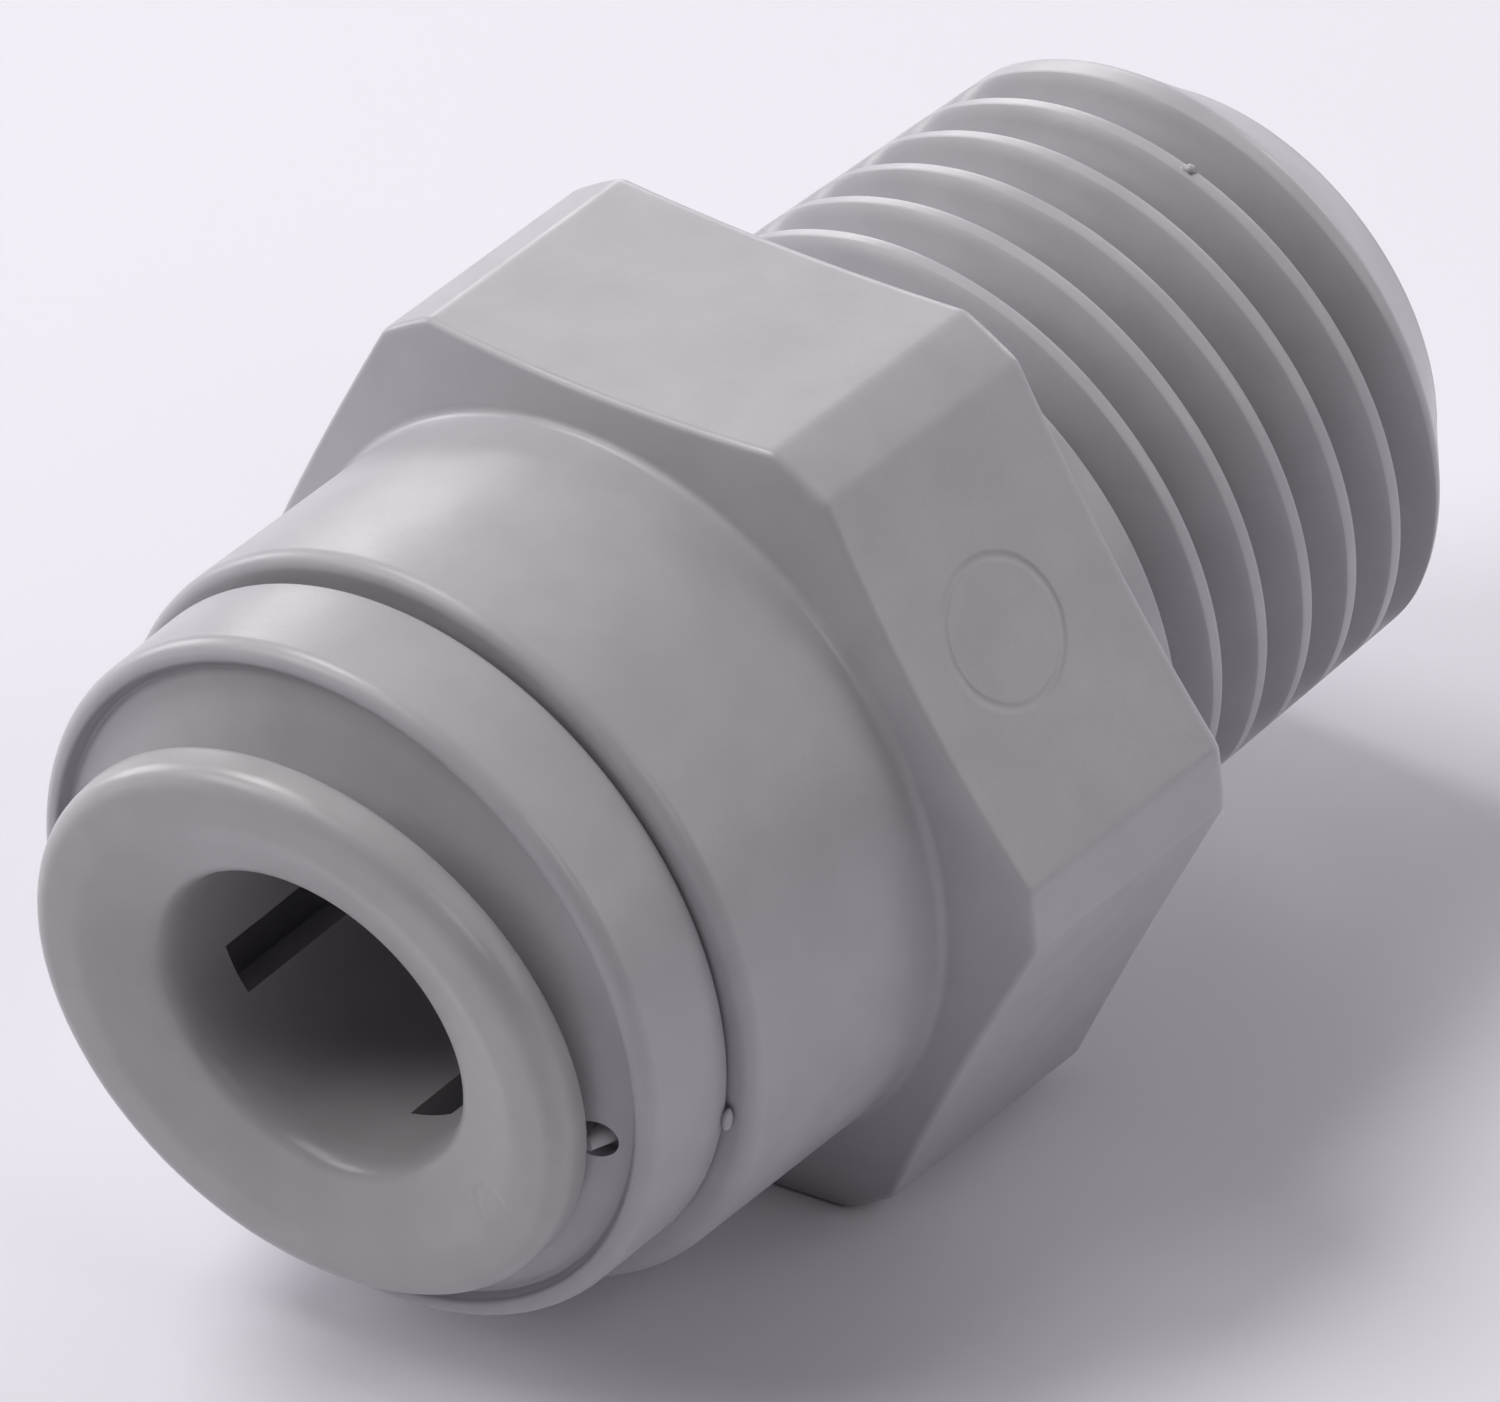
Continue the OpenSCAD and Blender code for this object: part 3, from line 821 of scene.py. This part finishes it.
def lean(points, degrees, towards, hinge, full, ends, push, aside):
    """Points of cap or collet with the flange tilted as a whole; from full to ends the tilt dies out."""
    local = points / MM - np.array([0.0, shoulder_y, AXIS_H])
    share = np.clip((ends - local[:, 1]) / (ends - full), 0, 1)
    share = share * share * (3 - 2 * share)
    side = np.array([math.cos(math.radians(towards)), 0.0, math.sin(math.radians(towards))])
    sine, drop = math.sin(math.radians(degrees)), math.cos(math.radians(degrees)) - 1
    reach, depth = local @ side, local[:, 1] - hinge
    move = np.outer(reach * drop - depth * sine, side)
    move[:, 1] += reach * sine + depth * drop + push
    move[:, [0, 2]] += aside
    return points + move * share[:, None] * MM


def lathe(profile, columns):
    """Points and faces of a closed profile turned once round the axis."""
    theta = np.arange(columns) * TURN / columns
    shape = np.array(profile)
    points = place(shape[:, :1], shape[:, 1:], theta[None, :]).reshape(-1, 3)
    return points, grid_faces(len(profile), columns)


def cap_profile():
    """From the throat over nose, cone, crease, rim and flange to the skirt, and back by the inner cone."""
    tilt = math.degrees(math.atan((RIM_Z + FOOT_DEPTH - NOSE_Z) / (FOOT_R - NOSE_R)))
    flat_r = NOSE_R - NOSE_ROUND * math.tan(math.radians(tilt / 2))
    profile = [(THROAT_R + THROAT_CHAMFER, NOSE_Z)]
    profile += arc(flat_r, NOSE_Z + NOSE_ROUND, NOSE_ROUND, -90, tilt - 90)
    profile += arc(FOOT_R - FOOT_IN, RIM_Z + FOOT_DEPTH - FOOT_FORWARD, FOOT_ROUND, 90 + tilt, FOOT_END, 4)
    profile += arc(RIM_IN_R + RIM_EDGE, RIM_Z + RIM_EDGE, RIM_EDGE, -180, -90)
    profile += arc(CAP_RIM_R - RIM_ROUND, RIM_Z + RIM_ROUND, RIM_ROUND, -90, -RIM_DRAFT, 8)
    profile += arc(CAP_R - CAP_BACK_ROUND, FLANGE_BACK - CAP_BACK_ROUND, CAP_BACK_ROUND, -RIM_DRAFT, 90)
    profile += [(SKIRT_R, FLANGE_BACK), (SKIRT_R, SKIRT_END - SKIRT_CHAMFER)]
    profile += [(SKIRT_R - SKIRT_CHAMFER, SKIRT_END), (CONE_R, SKIRT_END)]
    profile += [(RELIEF_R, CONE_FRONT), (RELIEF_R, THROAT_BACK + RELIEF_R - THROAT_R)]
    return profile + [(THROAT_R, THROAT_BACK), (THROAT_R, NOSE_Z + THROAT_CHAMFER)]


def build_cap():
    """The cap turned and leant over, with its gate hole, the torn stump in it and the bit of flash."""
    points, faces = lathe(with_supports(cap_profile()), CAP_COLUMNS)
    hole = stub("gate_hole", on_round(GATE_R, GATE_Z, GATE_TURN), *GATE_HOLE)
    torn = stub("gate_stump", on_round(GATE_R, GATE_Z + STUMP_SUNK, GATE_TURN), *STUMP)
    flash = bead("seam_flash", on_round(CAP_R, FLASH_Z, FLASH_TURN), FLASH_TURN, FLASH_HALVES)
    steps = [("DIFFERENCE", hole), ("UNION", torn), ("UNION", flash)]
    mesh = carved(mesh_of("cap_turned", lean(points, **CAP_LEAN), faces), steps)
    piece("retaining_cap", mesh, CAP_PLASTIC, "fitting", ["end_cap"])


# collet

def collet_outside():
    """From the face's crest over the rim and the hollow back to the sleeve and the finger's head."""
    outside = [(MOUTH[0][0], COLLET_FACE)]
    outside += arc(COLLET_R - COLLET_ROUND, COLLET_FACE + COLLET_ROUND, COLLET_ROUND, -90, 0, 8)
    outside += arc(COLLET_R - COLLET_BACK_ROUND, COLLET_BACK - COLLET_BACK_ROUND, COLLET_BACK_ROUND, 0, 90)
    hollow = COLLET_BACK - BACK_HOLLOW
    outside += [(COLLET_R - HOLLOW_IN, COLLET_BACK - HOLLOW_LIP), (HOLLOW_R, hollow)]
    outside += [(SLEEVE_R + SLEEVE_FOOT_WIDTH, hollow), (SLEEVE_R, hollow + SLEEVE_FOOT_HEIGHT)]
    outside += [(SLEEVE_R, z) for z in (SLOT_FROM, SLEEVE_MIDDLE, RAMP_FROM)]
    return outside + [(HEAD_R, RAMP_TO), (HEAD_R, COLLET_END)]


def smooth_through(points, steps=4):
    """Points of a smooth curve through the given ones, after the first of them."""
    ends = [points[0], *points, points[-1]]
    out = []
    for before, here, there, after in zip(ends, ends[1:], ends[2:], ends[3:]):
        b, h, t, a = (np.array(q) for q in (before, here, there, after))
        for u in np.linspace(0, 1, steps + 1)[1:]:
            square, cube = 2 * b - 5 * h + 4 * t - a, 3 * h - b - 3 * t + a
            out.append(tuple((2 * h + (t - b) * u + square * u ** 2 + cube * u ** 3) / 2))
    return out


def collet_inside():
    """From the fingers' end along the bore and out through the flared mouth."""
    bore = [(BORE_R, z) for z in (COLLET_END, RAMP_FROM, SLEEVE_MIDDLE, SLOT_FROM)]
    mouth = [(r, COLLET_FACE + depth) for r, depth in smooth_through(MOUTH)]
    return bore + mouth[::-1]


def finger_points(shape, in_slot, in_finger):
    """Points of one slot and of the finger beside it, about the origin, for each point of the profile."""
    half = np.arcsin(SLOT_HALF / shape[:, :1])
    slot = -half + 2 * half * np.arange(in_slot) / in_slot
    finger = half + (TURN / FINGERS - 2 * half) * np.arange(in_finger + 1) / in_finger
    theta = np.concatenate([slot, finger], axis=1) + math.radians(SLOT_TURN)
    return place(shape[:, :1], shape[:, 1:], theta).reshape(-1, 3) - np.array([0, 0, AXIS_H]) * MM


def slot_walls(pairs, in_slot):
    """Faces of the slot's two sides and its closed end, between points outside and inside."""
    walls = [[a + edge, b + edge, d + edge, c + edge]
             for edge in (0, in_slot) for (a, b), (c, d) in zip(pairs, pairs[1:])]
    a, b = pairs[0]
    return walls + [[a + j, a + j + 1, b + j + 1, b + j] for j in range(in_slot)]


def build_collet(in_slot=4, in_finger=60):
    """One finger with its slot, repeated round the axis, then leant over."""
    outside = collet_outside()
    shape = np.array(outside + collet_inside())
    columns = in_slot + in_finger + 1
    faces = grid_faces(len(shape), columns, wrap_cols=False)
    row, col = faces[:, 0] // columns, faces[:, 0] % columns
    slotted = shape[:, 1] > SLOT_FROM - CLOSE
    cut = (col < in_slot) & slotted[row] & slotted[(row + 1) % len(shape)]
    outer = [i for i in range(len(outside)) if slotted[i]]
    inner = [i for i in range(len(outside), len(shape)) if slotted[i]]
    pairs = [(a * columns, b * columns) for a, b in zip(outer, reversed(inner))]
    faces = np.array(faces[~cut].tolist() + slot_walls(pairs, in_slot))
    quarter = mesh_of("collet_quarter", finger_points(shape, in_slot, in_finger), faces)
    ring = grown("collet_ring", quarter, ring_tree(), material=COLLET_PLASTIC)
    spots = np.empty(len(ring.vertices) * 3)
    ring.vertices.foreach_get("co", spots)
    ring.vertices.foreach_set("co", lean(spots.reshape(-1, 3), **COLLET_LEAN).ravel())
    piece("release_collet", ring, COLLET_PLASTIC, "release", ["collet"], 32.0)


build_body()
build_cap()
build_collet()

# the teeth and the seal ring keep the shape of their solids
for name, solid in frame["nodes"].items():
    if name.startswith("tooth"):
        only_material(solid.data, STEEL)
    elif name == "o_ring":
        only_material(solid.data, RUBBER)
        solid.data.shade_smooth()


# floor, light and camera

FLOOR_HALF = 1.2
FLOOR_SHEEN = 0.2
GLOW_COLOUR = (0.97, 0.96, 1.0)
GLOW_STRENGTH = 0.25


def floor_material(light, dark, rough):
    """A pale, almost even sheet with slow patches."""
    material, tree, shader = new_material("pale_floor")
    patch = noise(tree, object_place(tree), FLOOR_SCALE, detail=2.0)
    two_tones(tree, shader, patch, dark, light)
    tree.links.new(ramp(tree, patch, *NOISE_SPAN, *rough), shader.inputs["Roughness"])
    shader.inputs["Specular IOR Level"].default_value = FLOOR_SHEEN
    return material


def build_floor(half):
    """A square floor under the fitting, its half width in metres."""
    mesh = bpy.data.meshes.new("floor")
    corners = [(-half, -half, 0), (half, -half, 0), (half, half, 0), (-half, half, 0)]
    mesh.from_pydata(corners, [], [(0, 1, 2, 3)])
    material = floor_material(light=(0.83, 0.805, 0.86), dark=(0.80, 0.775, 0.83), rough=(0.7, 0.85))
    mesh.materials.append(material)
    obj = linked("floor", mesh)


LIGHT_SIZE = 0.26
LIGHT_DISTANCE = 0.6
LIGHT_COLOUR = (1.0, 0.985, 1.0)
# name, azimuth from +X towards +Y, elevation, watts
LIGHTS = [
    ("key_high", 180.0, 62.0, 1.69),
    ("key_high_front", 240.0, 62.0, 0.57),
    ("key_front", 225.0, 38.0, 0.78),
    ("side_low", 180.0, 15.0, 0.83),
    ("side_back_low", 135.0, 15.0, 0.69),
    ("back_low", 90.0, 15.0, 0.62),
    ("back_right_low", 45.0, 15.0, 0.36),
    ("back_high", 90.0, 38.0, 0.3),
    ("fill_right", 0.0, 38.0, 0.43),
    ("fill_back_right", 45.0, 38.0, 0.2),
    ("top_back", 120.0, 62.0, 0.15)]


def disc_light(name, azimuth, elevation, power):
    """A soft round light in that direction from the fitting, aimed at its middle."""
    data = bpy.data.lights.new(name, "AREA")
    data.shape = "DISK"
    data.size, data.energy, data.color = LIGHT_SIZE, power, LIGHT_COLOUR
    obj = linked(name, data)
    a, e = math.radians(azimuth), math.radians(elevation)
    out = Vector((math.cos(a) * math.cos(e), math.sin(a) * math.cos(e), math.sin(e)))
    obj.matrix_world = out.to_track_quat("Z", "Y").to_matrix().to_4x4()
    obj.matrix_world.translation = Vector((0, 0, AXIS_H * MM)) + out * LIGHT_DISTANCE


# camera solved from the photograph: the fitting's axis is +Y, lengths in units of the barrel's radius
CAMERA_TURN = math.radians(42.65)
CAMERA_LIFT = math.radians(34.38)
CAMERA_ROLL = math.radians(-5.64)
CAMERA_UNIT = BARREL_R
CAMERA_SHIFT = Vector((-1.0907, -0.7767, 49.61))
FOCAL_PIXELS = 20779.0
PHOTO_WIDTH = 1500.0
SENSOR = 36.0
ORIGIN_BEFORE_SHOULDER = 15.43
# in metres from the camera
CAMERA_REACH = (0.01, 10.0)


def build_camera():
    """Places the camera as the photograph was taken, by its own axes."""
    a, e, roll = CAMERA_TURN, CAMERA_LIFT, CAMERA_ROLL
    ahead = Vector((-math.sin(a) * math.cos(e), math.cos(a) * math.cos(e), -math.sin(e)))
    level = Vector((math.cos(a), math.sin(a), 0))
    above = level.cross(ahead)
    right = level * math.cos(roll) + above * math.sin(roll)
    up = -level * math.sin(roll) + above * math.cos(roll)
    start = Vector((0, shoulder_y - ORIGIN_BEFORE_SHOULDER, AXIS_H)) * MM
    offset = -(right * CAMERA_SHIFT.x + up * CAMERA_SHIFT.y + ahead * CAMERA_SHIFT.z) * CAMERA_UNIT * MM
    data = bpy.data.cameras.new("camera")
    data.sensor_width, data.lens = SENSOR, SENSOR * FOCAL_PIXELS / PHOTO_WIDTH
    data.clip_start, data.clip_end = CAMERA_REACH
    obj = linked("camera", data)
    turn = Matrix(((right.x, up.x, -ahead.x), (right.y, up.y, -ahead.y), (right.z, up.z, -ahead.z)))
    obj.matrix_world = Matrix.Translation(start + offset) @ turn.to_4x4()
    bpy.context.scene.camera = obj


def world_glow(colour, strength):
    """A pale surround that shows only in the gloss of the plastic."""
    world = bpy.data.worlds.new("pale_tent")
    world.use_nodes = True
    background = world.node_tree.nodes["Background"]
    background.inputs["Color"].default_value = (*colour, 1)
    background.inputs["Strength"].default_value = strength
    world.cycles_visibility.diffuse = False
    bpy.context.scene.world = world


build_floor(FLOOR_HALF)
world_glow(GLOW_COLOUR, GLOW_STRENGTH)
for light in LIGHTS:
    disc_light(*light)
build_camera()
bpy.context.scene.view_settings.view_transform = "Standard"
